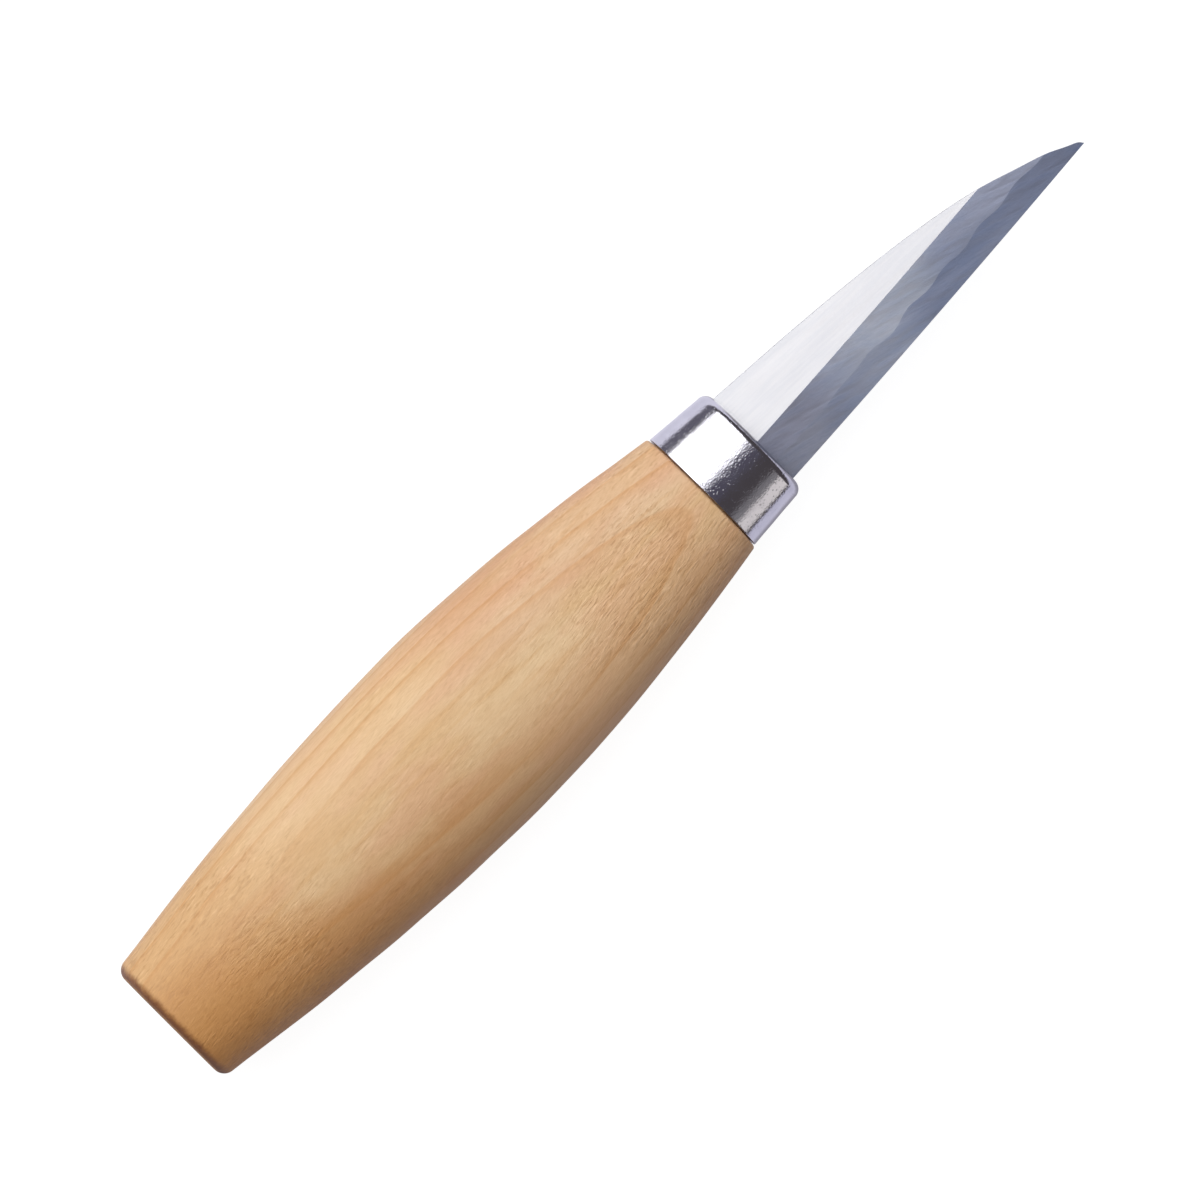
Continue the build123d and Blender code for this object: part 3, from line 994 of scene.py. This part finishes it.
@dataclass
class Ferrule:
    """The drawn steel cup over the tenon, closed in front but for the blade's slot.

    Attributes (lengths in metres, pairs are half width and half thickness):
        axis: The knife's axis.
        back_x: Its open end, ahead of the butt.
        front_x: Its closed end.
        gap: How far its open end stands off the wood's shoulder.
        back: Its outside at the open end.
        front: Its outside at the closed end, before the rounding.
        wall: Thickness of the steel.
        rounding: Radius round the closed end.
        lip: Radius of the open end's outer edge.
        slot_half: The blade's slot.
        slot_shift: How far the slot's middle is towards the spine.
        dents: Size of the drawn wall's unevenness.
        squareness: The power of the superellipse that comes nearest to the oval.
        columns: Points round the section.
    """

    axis: Axis
    back_x: float = 97.7 * MM
    front_x: float = 107.25 * MM
    gap: float = 0.2 * MM
    back: tuple[float, float] = (9.65 * MM, 6.35 * MM)
    front: tuple[float, float] = (8.85 * MM, 5.8 * MM)
    wall: float = 0.8 * MM
    rounding: float = 1.4 * MM
    lip: float = 0.12 * MM
    slot_half: tuple[float, float] = (7.395 * MM, 1.48 * MM)
    slot_shift: float = 0.235 * MM
    dents: float = 0.006 * MM
    squareness: float = 2.155
    columns: int = 240

    def wall_half(self, x: np.ndarray, which: int, inset: float) -> np.ndarray:
        """The size of the ferrule's straight taper.

        Args:
            x: Places along the axis.
            which: 0 for the half width, 1 for the half thickness.
            inset: How much is taken off.

        Returns:
            The size at each place.
        """
        wood_x = self.back_x - self.gap
        share = (x - wood_x) / (self.front_x - wood_x)
        return self.back[which] + (self.front[which] - self.back[which]) * share - inset

    def tube(self, x: np.ndarray, inset: np.ndarray, dents: float = 0.0) -> np.ndarray:
        """Rows of the tapered oval at the given places, each taken in by its inset.

        Args:
            x: Place of each row.
            inset: How much each row is taken in.
            dents: Height of the drawn wall's unevenness.

        Returns:
            The points, in the frame.
        """
        turn = np.arange(self.columns) / self.columns
        across, through = oval(turn)
        x, inset = x[:, None], inset[:, None]
        share = (x - self.back_x) / (self.front_x - self.back_x)
        uneven = dents * waves(share, turn[None, :], seed=11, count=22, cycles=(0.3, 3.2), lobes=7)
        y = (self.wall_half(x, 0, 0.0) - inset + uneven) * across
        z = (self.wall_half(x, 1, 0.0) - inset + uneven) * through
        return self.axis.place(x, y, z)

    def face(self, front_x: float, inset: float, rounding: float, rows: int) -> np.ndarray:
        """The closed end, from the wall's oval in to the slot's rectangle.

        Each column runs straight from the oval to the rectangle. The surface falls away near the
        oval as a quarter circle of the depth below the oval's edge, and that depth is one less
        the oval's gauge, divided by how steeply the gauge rises. The gauge of a point is the size
        of the like oval that passes through it, with the oval taken as a superellipse.

        Args:
            front_x: The closed end's place.
            inset: How much its oval is taken in from the cup's outside.
            rounding: Radius of the quarter circle.
            rows: How many rows there are.

        Returns:
            The points, in the frame, from the oval inwards.
        """
        turn = np.arange(self.columns) / self.columns
        across, through = oval(turn)
        reach = np.maximum(np.abs(across), np.abs(through))
        start_x = front_x - rounding
        a = float(self.wall_half(np.array(start_x), 0, inset))
        b = float(self.wall_half(np.array(start_x), 1, inset))
        s = (np.linspace(0, 1, rows) ** 2)[:, None]
        y = a * across * (1 - s) + (self.slot_half[0] * across / reach + self.slot_shift) * s
        z = b * through * (1 - s) + self.slot_half[1] * through / reach * s
        power = self.squareness
        gauge = (np.abs(y / a) ** power + np.abs(z / b) ** power) ** (1 / power)
        rise_y = np.abs(y / a) ** (power - 1) / a
        rise_z = np.abs(z / b) ** (power - 1) / b
        steep = np.hypot(rise_y, rise_z) / gauge ** (power - 1)
        depth = np.clip((1 - gauge) / steep, 0, rounding)
        depth[0] = 0.0
        x = start_x + np.sqrt(np.clip(rounding**2 - (rounding - depth) ** 2, 0, None))
        return self.axis.place(x, y, z)

    def build(self, plate: bpy.types.Material) -> bpy.types.Object:
        """Makes the ferrule and puts it in the place of its CAD node.

        Args:
            plate: The bright plate.

        Returns:
            The piece.
        """
        turns = quarter(0, 90, 5)
        lip_x = self.back_x + self.lip - self.lip * np.sin(turns)
        lip_in = self.lip - self.lip * np.cos(turns)
        wall_x = np.linspace(self.back_x + self.lip, self.front_x - self.rounding, 40)
        inner_rounding = self.rounding - self.wall
        inner_end = self.front_x - self.wall
        inner_x = np.linspace(self.back_x, inner_end - inner_rounding, 12)
        back_edge = self.tube(lip_x[::-1], lip_in[::-1], self.dents)
        outside = self.tube(wall_x, np.zeros_like(wall_x), self.dents)
        front = self.face(self.front_x, 0.0, self.rounding, 34)
        back = self.face(inner_end, self.wall, inner_rounding, 12)
        inside = self.tube(inner_x, np.full_like(inner_x, self.wall))
        rows = np.concatenate([back_edge, outside[1:-1], front, back[::-1], inside[::-1][1:]])
        piece = skin("drawn_ferrule", [Sheet(rows, ring_rows=True, ring_columns=True)], [plate], crease=40.0)
        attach(piece, "root")
        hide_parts("ferrule")
        return piece


@dataclass
class Blade:
    """The laminated blade and its tang: a hard core between two softer sides.

    The edge is an arc of a very large circle, and both bevels are cones through it. The weld
    between core and side wanders a little along the blade, so on the bevel, which cuts it at a
    slant, it shows as a wavy line.

    Attributes (lengths in metres):
        axis: The knife's axis.
        shoulder_x: Where the tang starts.
        ferrule_x: The ferrule's front, where the blade comes into sight.
        heel_y: The edge's height at the ferrule's front.
        tip_y: The point's height.
        edge_belly: How far the edge bulges beyond a straight line between the two.
        thickness: The blade's thickness above the bevels.
        tang_thickness: The tang's.
        core_thickness: The hard layer's.
        bevel_height: Height of each bevel.
        spine_chamfer: Height of the chamfer along the spine.
        chamfer_lean: Its lean from the flat, in degrees.
        tang_front: Half the tang's height at the shoulder.
        tang_back: Half its height at the butt.
        tang_back_x: Where it ends in the peened head.
        head_x: Where the head ends.
        head: The head's half width and half thickness.
        head_rounding: Radius of its edge.
        spine: Points of the spine's outline, in millimetres.
        weld_swing: How far the weld wanders.
        rows: Rows along the blade.
        bevel_columns: Points up a side layer's bevel.
        flat_columns: Points up its flat.
        corner_columns: Points over its chamfer.
        weld_columns: Points along its weld, and along the core's.
        core_columns: Points up the core's bevel.
        crease: Angle above which the blade's edges stay crisp, in degrees.
    """

    axis: Axis
    shoulder_x: float = 106.45 * MM
    ferrule_x: float = 107.25 * MM
    heel_y: float = -7.08 * MM
    tip_y: float = -3.0 * MM
    edge_belly: float = 0.2 * MM
    thickness: float = 2.7 * MM
    tang_thickness: float = 2.8 * MM
    core_thickness: float = 1.3 * MM
    bevel_height: float = 6.65 * MM
    spine_chamfer: float = 0.05 * MM
    chamfer_lean: float = 40.0
    tang_front: float = 4.5 * MM
    tang_back: float = 2.5 * MM
    tang_back_x: float = 1.2 * MM
    head_x: float = 0.3 * MM
    head: tuple[float, float] = (3.4 * MM, 2.2 * MM)
    head_rounding: float = 0.35 * MM
    spine: tuple = (
        (107.25, 7.55),
        (121.0, 6.64),
        (133.0, 5.52),
        (145.0, 3.82),
        (151.5, 2.38),
        (157.0, 0.66),
        (161.0, -0.72),
        (163.6, -1.95),
        (164.6, -2.48),
    )
    weld_swing: float = 0.025 * MM
    rows: int = 420
    bevel_columns: int = 12
    flat_columns: int = 14
    corner_columns: int = 3
    weld_columns: int = 4
    core_columns: int = 10
    crease: float = 8.0
    length: float = field(init=False)
    slope: float = field(init=False)
    edge_radius: float = field(init=False)
    centre: tuple[float, float] = field(init=False)
    spine_curve: SmoothLine = field(init=False)

    def __post_init__(self) -> None:
        """Works out the bevels' slope, the edge's circle and the spine's curve."""
        self.length = self.axis.tip_x - self.axis.butt_x
        self.slope = self.thickness / 2 / self.bevel_height
        run, rise = self.length - self.ferrule_x, self.tip_y - self.heel_y
        chord = math.hypot(run, rise)
        self.edge_radius = chord**2 / (8 * self.edge_belly) + self.edge_belly / 2
        to_centre = self.edge_radius - self.edge_belly
        self.centre = (
            (self.ferrule_x + self.length) / 2 - to_centre * rise / chord,
            (self.heel_y + self.tip_y) / 2 + to_centre * run / chord,
        )
        knots = [(x * MM, y * MM) for x, y in self.spine]
        self.spine_curve = SmoothLine([*knots, (self.length, self.tip_y)])

    def stations(self) -> np.ndarray:
        """Places along the blade, closer together towards the point."""
        share = np.linspace(0, 1, self.rows)
        return self.shoulder_x + (self.length - self.shoulder_x) * (1 - (1 - share) ** 1.25)

    def level(self, x: np.ndarray, half: Union[float, np.ndarray]) -> np.ndarray:
        """Where on the bevel the half thickness has a given value.

        Args:
            x: Places along the blade.
            half: Half thickness there.

        Returns:
            The height, on a circle smaller than the edge's by the half thickness over the slope.
        """
        radius = self.edge_radius - half / self.slope
        return self.centre[1] - np.sqrt(radius**2 - (x - self.centre[0]) ** 2)

    def edge(self, x: np.ndarray) -> np.ndarray:
        """Height of the cutting edge, where the half thickness is nothing."""
        return self.level(x, 0.0)

    def top(self, x: np.ndarray) -> np.ndarray:
        """Height of the spine, never below the edge."""
        inside = np.maximum(x, self.ferrule_x)
        return np.maximum(self.spine_curve(inside), self.edge(x))

    def half(self, x: np.ndarray, y: np.ndarray) -> np.ndarray:
        """Half thickness at a point: the slope times the distance inside the edge, up to the flat.

        Args:
            x: The point's place along the blade.
            y: Its height.

        Returns:
            The half thickness there.
        """
        over_edge = self.edge_radius - np.hypot(x - self.centre[0], y - self.centre[1])
        full = np.where(x < self.ferrule_x, self.tang_thickness, self.thickness) / 2
        return np.minimum(self.slope * over_edge, full)

    def weld(self, x: np.ndarray, side: Side) -> np.ndarray:
        """Distance of the weld from the middle plane: half the core with a few waves along the blade.

        Args:
            x: Places along the blade.
            side: Which layer's weld.

        Returns:
            The distance at each place.
        """
        share, seed = x / self.length, 40 + side.value
        waver = waves(share, np.array(0.0), seed, count=16, cycles=(4.0, 26.0), lobes=0)
        ahead = np.clip((x - self.ferrule_x) / (3 * MM), 0, 1)
        return self.core_thickness / 2 + self.weld_swing * waver * ahead

    def side_loop(self, x: np.ndarray, side: Side) -> np.ndarray:
        """The section of one side layer at each place, as a closed loop of columns.

        The loop climbs the bevel from the weld to the flat, runs over the flat to the spine's
        chamfer, goes down the spine to the weld and back along the weld. Where the bevel
        reaches the spine, the flat's columns fall together.

        Args:
            x: Places along the blade.
            side: Which layer.

        Returns:
            Rows by columns by three coordinates, in the frame.
        """
        x = x[:, None]
        weld = self.weld(x, side)
        spine = self.top(x)
        low = np.minimum(self.level(x, weld), spine)
        weld = np.minimum(weld, np.maximum(self.half(x, spine), 0))
        room = self.half(x, spine) - weld
        chamfer = np.minimum(self.spine_chamfer, 0.5 * room)
        last = np.maximum(spine - chamfer, low)
        full = self.half(x, np.array(1.0))
        crest = np.clip(self.level(x, full), low, last)
        s_bevel = np.linspace(0, 1, self.bevel_columns)[None, :]
        s_flat = np.linspace(0, 1, self.flat_columns)[None, 1:]
        y_bevel = low + (crest - low) * s_bevel
        y_flat = crest + (last - crest) * s_flat
        s_corner = np.linspace(0, 1, self.corner_columns)[None, 1:]
        y_corner = last + (spine - last) * s_corner
        fall = math.tan(math.radians(self.chamfer_lean)) * (spine - last)
        z_corner = self.half(x, last) - fall * s_corner
        y_weld = spine + (low - spine) * np.linspace(0, 1, self.weld_columns)[None, :-1]
        y = np.concatenate([y_bevel, y_flat, y_corner, y_weld], axis=1)
        z = np.concatenate([
            np.maximum(self.half(x, y_bevel), weld),
            np.maximum(self.half(x, y_flat), weld),
            z_corner,
            np.broadcast_to(weld, y_weld.shape),
        ], axis=1)
        return self.axis.place(x, y, side.value * z)

    def head_sections(self) -> list[tuple[float, float, float, float]]:
        """The ovals of the tang's peened head, which grow as a quarter circle from its end.

        Returns:
            For each its place, its half width and half thickness, and the turn round it at which
            it meets the weld.
        """
        turns = quarter(0, 90, 6)
        places = self.head_x + self.head_rounding * (1 - np.cos(turns))
        insets = self.head_rounding * (1 - np.sin(turns))
        sections = []
        for x, inset in [*zip(places, insets), (self.tang_back_x, 0.0)]:
            half_width, half_thickness = self.head[0] - inset, self.head[1] - inset
            height = min(self.core_thickness / 2 / half_thickness, 1.0)
            sections.append((x, half_width, half_thickness, math.asin(height) / (2 * math.pi)))
        return sections

    def tang_ends(self) -> list[tuple[float, float]]:
        """The place and the half height of the tang at each of its ends."""
        return [(self.tang_back_x, self.tang_back), (self.shoulder_x, self.tang_front)]

    def tang_loop(self, side: Side) -> np.ndarray:
        """The side layer's sections in the tang and its peened head, with as many columns.

        The tang's section is a rectangle, tapering in height from the shoulder to the butt. The
        head's section is the part of an oval beyond the weld, shrinking as a quarter circle
        towards its end.

        Args:
            side: Which layer.

        Returns:
            Rows by columns by three coordinates, from the head's end to the shoulder.
        """
        weld, full = self.core_thickness / 2, self.tang_thickness / 2
        back = np.linspace(1, -1, self.weld_columns)[:-1]
        along_weld = np.full(len(back), weld)
        over = self.bevel_columns + self.flat_columns - 1 + self.corner_columns - 1
        rows = []
        for x, half_width, half_thickness, start in self.head_sections():
            across, through = oval(np.linspace(0.5 - start, start, over))
            y = half_width * np.concatenate([across, across[-1] * back])
            z = np.concatenate([half_thickness * through, along_weld])
            z[0] = z[over - 1] = weld
            rows.append(self.axis.place(np.array(x), y, side.value * z))
        rise = np.linspace(-1, 1, over - 2)
        for x, half in self.tang_ends():
            y = half * np.concatenate([[-1], rise, [1], back])
            z = np.concatenate([[weld], np.full(over - 2, full), [weld], along_weld])
            rows.append(self.axis.place(np.array(x), y, side.value * z))
        return np.stack(rows)

    def build_side(self, side: Side, ground: bpy.types.Material, polished: bpy.types.Material,
                   raw: bpy.types.Material) -> bpy.types.Object:
        """Makes one side layer and puts it in the place of its CAD node.

        Args:
            side: Which layer.
            ground: The bevel's finish.
            polished: The flat's finish.
            raw: The tang's finish.

        Returns:
            The piece.
        """
        x, last = self.stations(), self.meeting(side)
        x = np.append(x[x < last], last)
        blade = self.side_loop(x, side)
        tang = self.tang_loop(side)
        rows = np.concatenate([tang, blade])
        finish = np.full((rows.shape[0] - 1, rows.shape[1]), int(SideFinish.FLAT))
        finish[:, : self.bevel_columns - 1] = SideFinish.BEVEL
        finish[: tang.shape[0]] = SideFinish.TANG
        body = Sheet(rows, ring_columns=True, finish=finish.reshape(-1))
        ends = [Sheet(fan(rows[end]), finish=SideFinish.TANG) for end in (0, -1)]
        name = f"blade_side_{side.name.lower()}"
        piece = skin(name, [body, *ends], [ground, polished, raw], self.crease)
        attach(piece, "root")
        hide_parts(f"blade_cladding_{side.name.lower()}")
        return piece

    def meeting(self, side: Side) -> float:
        """Where the weld's line on the bevel runs out at the spine.

        Args:
            side: Which layer's weld.

        Returns:
            The first such place along the blade.
        """
        x = np.linspace(self.ferrule_x, self.length, 6000)
        past = self.level(x, self.weld(x, side)) >= self.top(x)
        return float(x[np.argmax(past)])

    def core_loop(self, x: np.ndarray) -> np.ndarray:
        """The core's section at each place, as a closed loop of columns.

        The loop climbs the right bevel from the edge to the weld, follows the weld to the spine,
        goes down the spine to the other weld, and comes back the same way on the left.

        Args:
            x: Places along the blade.

        Returns:
            Rows by columns by three coordinates, in the frame.
        """
        x = x[:, None]
        spine, edge = self.top(x), self.edge(x)
        s_bevel = np.linspace(0, 1, self.core_columns)[None, :]
        s_weld = np.linspace(0, 1, self.weld_columns)[None, 1:]
        y_parts, z_parts = [], []
        for side in (Side.RIGHT, Side.LEFT):
            weld = np.minimum(self.weld(x, side), np.maximum(self.half(x, spine), 0))
            low = np.minimum(self.level(x, weld), spine)
            y = np.concatenate([edge + (low - edge) * s_bevel, low + (spine - low) * s_weld], axis=1)
            z = np.concatenate([weld * s_bevel, weld * np.ones_like(s_weld)], axis=1)
            y_parts.append(y)
            z_parts.append(side.value * z)
        y = np.concatenate([y_parts[0], y_parts[1][:, :0:-1]], axis=1)
        z = np.concatenate([z_parts[0], z_parts[1][:, :0:-1]], axis=1)
        return self.axis.place(x, y, z)

    def core_tang(self) -> np.ndarray:
        """The core's sections in the tang and the head, with as many columns as its loop.

        Returns:
            Rows by columns by three coordinates, from the head's end to the shoulder.
        """
        weld = self.core_thickness / 2
        up = np.linspace(-1, 1, self.core_columns + self.weld_columns - 2)
        y_unit = np.concatenate([[-1], up, up[::-1]])
        z_unit = np.concatenate([[0], np.ones(len(up)), -np.ones(len(up))])
        sizes = [(x, half_width * float(oval(np.array(start))[0]))
                 for x, half_width, _, start in self.head_sections()]
        return np.stack([self.axis.place(np.array(x), half * y_unit, weld * z_unit)
                         for x, half in [*sizes, *self.tang_ends()]])

    def build_core(self, ground: bpy.types.Material, raw: bpy.types.Material) -> bpy.types.Object:
        """Makes the core and puts it in the place of its CAD node.

        Args:
            ground: The finish of its ground bevels.
            raw: The tang's finish.

        Returns:
            The piece.
        """
        blade = self.core_loop(self.stations())
        tang = self.core_tang()
        rows = np.concatenate([tang, blade])
        finish = np.full((rows.shape[0] - 1, rows.shape[1]), int(CoreFinish.BEVEL))
        finish[: tang.shape[0]] = CoreFinish.TANG
        body = Sheet(rows, ring_columns=True, finish=finish.reshape(-1))
        ends = [Sheet(fan(rows[0]), finish=CoreFinish.TANG), Sheet(fan(rows[-1]), finish=CoreFinish.BEVEL)]
        piece = skin("blade_core", [body, *ends], [ground, raw], self.crease)
        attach(piece, "root")
        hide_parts("blade_core")
        return piece


def fan(loop: np.ndarray) -> np.ndarray:
    """A sheet that closes a loop: the loop itself and its middle point.

    Args:
        loop: The loop's points.

    Returns:
        Two rows, one on the loop and one all at its middle, with the first column repeated.
    """
    closed = np.concatenate([loop, loop[:1]])
    return np.stack([closed, np.broadcast_to(loop.mean(axis=0), closed.shape)])


@dataclass
class Glue:
    """The sleeve of adhesive round the tang. Its CAD node's shape stands, and only its finish is new."""

    node: str = "tang_glue"

    def dress(self, adhesive: bpy.types.Material) -> bpy.types.Object:
        """Gives the CAD node its finish.

        Args:
            adhesive: The material.

        Returns:
            The node's object.
        """
        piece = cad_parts[self.node]
        piece.data.materials.clear()
        piece.data.materials.append(adhesive)
        return piece


# ---- Studio ------------------------------------------------------------------------------------


@dataclass(frozen=True)
class Softbox:
    """A long area light that runs along the knife, at an angle round its axis.

    Attributes:
        name: The light's name.
        lean_from: Its lower angle from overhead, in degrees, positive towards the spine.
        lean_to: Its other angle.
        radiance: How bright its face is, where 1 is the white of the paper.
        tint: Its colour.
        reach: Its distance, in metres.
        length: Its length along the knife, in metres.
        ahead: How far its middle is ahead of the knife's, in metres.
    """

    name: str
    lean_from: float
    lean_to: float
    radiance: float
    tint: Colour = (1.0, 1.0, 1.0)
    reach: float = 0.9
    length: float = 1.8
    ahead: float = 0.0

    def build(self, centre: Vector) -> None:
        """Hangs the light, facing the centre.

        Args:
            centre: The point that it faces.
        """
        middle = math.radians((self.lean_from + self.lean_to) / 2)
        half = math.radians(abs(self.lean_to - self.lean_from) / 2)
        width = 2 * self.reach * math.tan(half)
        data = bpy.data.lights.new(self.name, "AREA")
        data.shape = "RECTANGLE"
        data.size, data.size_y = self.length, width
        data.energy = self.radiance * math.pi * self.length * width
        data.color = self.tint
        lamp = bpy.data.objects.new(self.name, data)
        lamp.visible_camera = False
        bpy.context.scene.collection.objects.link(lamp)
        back = Vector((0.0, math.sin(middle), math.cos(middle)))
        right = Vector((1.0, 0.0, 0.0))
        place = centre + self.reach * back + self.ahead * right
        lamp.matrix_world = stand(place, right, back.cross(right), back)


@dataclass
class Studio:
    """A pale paper floor, softboxes along the knife, and the camera overhead.

    Attributes:
        axis: The knife's axis.
        camera_distance: From the camera to the knife, in metres.
        view_width: What the picture spans at the knife, in metres.
        aim_x: How far ahead of the butt the camera aims, in metres.
        aim_y: How far towards the spine it aims, in metres.
        tilt: The camera's lean from overhead towards the butt, in degrees.
        turn: The knife's turn in the picture, in degrees.
        paper: The paper's brightness to the eye.
        paper_near: What metal mirrors of it on the key light's side.
        paper_far: What metal mirrors of it on the other side.
        paper_under: What metal mirrors of it in the knife's own shadow.
        paper_warm: What it adds to matt surfaces.
        room: The strength of the dim room's light.
        room_tint: Its colour.
        beyond: The room's colour where it is seen past the paper.
        floor_half: Half the paper's width, in metres.
        boxes: The lights.
    """

    axis: Axis
    camera_distance: float = 2.4
    view_width: float = 155.74 * MM
    aim_x: float = 78.42 * MM
    aim_y: float = -0.51 * MM
    tilt: float = 2.3
    turn: float = 45.0
    paper: float = 0.95
    paper_near: Colour = (0.84, 0.83, 0.94)
    paper_far: Colour = (0.60, 0.59, 0.71)
    paper_under: Colour = (0.2, 0.19, 0.22)
    paper_warm: Colour = (0.42, 0.37, 0.32)
    room: float = 0.084
    room_tint: Colour = (1.0, 0.88, 0.93)
    beyond: Colour = (0.93, 0.93, 0.94)
    floor_half: float = 3.0
    boxes: tuple[Softbox, ...] = (
        Softbox("key_softbox", 3.0, 60.5, 2.55),
        Softbox("blue_card", 3.0, -14.0, 0.05, (0.35, 0.42, 1.0)),
        Softbox("spine_card", 66.0, 86.0, 0.12, srgb(215, 218, 255), length=0.5, ahead=0.2),
        Softbox("low_card", -53.0, -81.0, 0.88, srgb(252, 247, 240), length=0.26, ahead=0.17),
        Softbox("dim_card", -38.0, -53.0, 0.17, length=0.36, ahead=0.15),
    )

    def aim(self) -> Vector:
        """The point that the camera looks at."""
        return Vector((self.axis.butt_x + self.aim_x, self.aim_y, self.axis.height))

    def build_floor(self) -> bpy.types.Object:
        """Lays the paper under the knife.

        The paper glows white to the eye. What bright metal mirrors of it is a little darker and
        bluer, and falls off away from the key light. What it adds to the wood is dimmer and warm.

        Returns:
            The floor.
        """
        side = np.linspace(-self.floor_half, self.floor_half, 9)
        x, y = np.meshgrid(side, side, indexing="ij")
        points = np.stack([x, y, np.zeros_like(x)], axis=-1)
        r = Recipe("pale_paper")
        fibre = r.noise(r.place((0.8, 0.8, 0.8)), detail=3)
        tint = r.blend(r.between(fibre, 0.3, 0.7), (0.14, 0.14, 0.15), (0.16, 0.16, 0.16))
        across = r.node("SeparateXYZ", {0: r.millimetres()}).outputs[1]
        mirrored = r.blend(r.between(across, -60.0, 60.0), self.paper_far, self.paper_near)
        under = r.calc("MULTIPLY", r.between(across, -26.0, -16.0, 0.0, 0.8), r.between(across, 12.0, 9.5))
        mirrored = r.blend(under, mirrored, self.paper_under)
        path = r.node("LightPath").outputs
        glow = r.blend(path["Is Glossy Ray"], self.paper_warm, mirrored)
        glow = r.blend(path["Is Camera Ray"], glow, (self.paper,) * 3)
        paper = r.surface({"Base Color": tint, "Roughness": 0.9, "Emission Color": glow,
                           "Emission Strength": 1.0, "Specular IOR Level": 0.0})
        mesh = bpy.data.meshes.new("paper_floor")
        mesh.from_pydata(points.reshape(-1, 3), [], Sheet(points).quads())
        mesh.materials.append(paper)
        floor = bpy.data.objects.new("paper_floor", mesh)
        bpy.context.scene.collection.objects.link(floor)
        return floor

    def build_room(self) -> None:
        """Sets the room: dim in reflections, and as pale as the paper where it is seen directly."""
        world = bpy.data.worlds.new("studio")
        world.use_nodes = True
        tree = world.node_tree
        tree.nodes.clear()
        output = tree.nodes.new("ShaderNodeOutputWorld")
        mix = tree.nodes.new("ShaderNodeMixShader")
        dim = tree.nodes.new("ShaderNodeBackground")
        pale = tree.nodes.new("ShaderNodeBackground")
        seen = tree.nodes.new("ShaderNodeLightPath").outputs["Is Camera Ray"]
        dim.inputs["Color"].default_value = (*self.room_tint, 1.0)
        dim.inputs["Strength"].default_value = self.room
        pale.inputs["Color"].default_value = (*self.beyond, 1.0)
        tree.links.new(seen, mix.inputs[0])
        tree.links.new(dim.outputs[0], mix.inputs[1])
        tree.links.new(pale.outputs[0], mix.inputs[2])
        tree.links.new(mix.outputs[0], output.inputs["Surface"])
        bpy.context.scene.world = world

    def build_camera(self) -> None:
        """Hangs the camera over the knife, turned so that the knife runs up to the right."""
        data = bpy.data.cameras.new("overhead_camera")
        data.lens = data.sensor_width * self.camera_distance / self.view_width
        data.clip_end = 20.0
        camera = bpy.data.objects.new("overhead_camera", data)
        bpy.context.scene.collection.objects.link(camera)
        tilt, turn = math.radians(self.tilt), math.radians(self.turn)
        along = Vector((math.cos(tilt), 0.0, math.sin(tilt)))
        spine = Vector((0.0, 1.0, 0.0))
        back = along.cross(spine)
        right = math.cos(turn) * along - math.sin(turn) * spine
        up = math.sin(turn) * along + math.cos(turn) * spine
        camera.matrix_world = stand(self.aim() + self.camera_distance * back, right, up, back)
        bpy.context.scene.camera = camera

    def build(self) -> None:
        """Sets the whole studio up."""
        self.build_camera()
        self.build_floor()
        self.build_room()
        for box in self.boxes:
            box.build(self.aim())
        bpy.context.scene.view_settings.view_transform = "Standard"


# ---- Making ------------------------------------------------------------------------------------


# Stretches of painted light on the blade: where each begins and is full, and where it fades and ends,
# in millimetres.
HEEL = ((18.0, 19.0), (31.0, 40.0))
MIDDLE = ((33.0, 46.0), (53.0, 60.0))
TIP = ((63.0, 74.0), (90.0, 91.0))

# On the sides, the heel is painted shade beside the ferrule and the middle a painted reflection; on the
# core, the heel is a warmer painted tone, the middle a painted reflection and the point painted shade.
GROUND_SIDE = GroundSteel(
    "ground_side_steel", srgb(205, 213, 236), srgb(175, 185, 210), 0.52, 16.0, (0.22, 1.7), 0.012,
    painted_light_and_shade=(PaintedLightStretch((0.80, 0.77, 0.76), *HEEL), PaintedLightStretch((1.30, 1.27, 1.15), *MIDDLE)),
)
GROUND_CORE = GroundSteel(
    "ground_core_steel", srgb(180, 190, 216), srgb(150, 162, 191), 0.52, 16.0, (0.2, 1.5), 0.012,
    painted_light_and_shade=(PaintedLightStretch((1.04, 0.98, 0.90), *HEEL), PaintedLightStretch((1.36, 1.31, 1.19), (33.0, 44.0), (47.0, 54.0)),
            PaintedLightStretch((0.82, 0.83, 0.86), *TIP)),
)
POLISHED_SIDE = GroundSteel("polished_side_steel", srgb(235, 235, 237), srgb(223, 224, 228), 0.336, 2.0,
                            (0.12, 1.4), 0.0005)
RAW_TANG = GroundSteel("raw_tang_steel", srgb(150, 150, 156), srgb(112, 112, 120), 0.45, 40.0,
                       (0.8, 0.8), 0.02)


def main() -> None:
    """Builds the studio and every piece, and reports each."""
    logging.basicConfig(level=logging.INFO, format="%(name)s: %(message)s")
    axis = Axis.of_frame()
    Studio(axis).build()
    handle, ferrule, blade = Handle(axis), Ferrule(axis), Blade(axis)
    centre = Vector((axis.butt_x + handle.belly_x, 0.0, axis.height))
    birch = OiledBirch().build(centre, axis.butt_x, axis.butt_x + handle.wood_length)
    ground, polished, raw = GROUND_SIDE.build(), POLISHED_SIDE.build(), RAW_TANG.build()
    pieces = [
        handle.build(birch),
        ferrule.build(Plate().build()),
        blade.build_core(GROUND_CORE.build(), raw),
        blade.build_side(Side.RIGHT, ground, polished, raw),
        blade.build_side(Side.LEFT, ground, polished, raw),
        Glue().dress(SetGlue().build()),
    ]
    for piece in pieces:
        log.info("%s: %d faces", piece.name, len(piece.data.polygons))


if __name__ == "__main__":
    main()
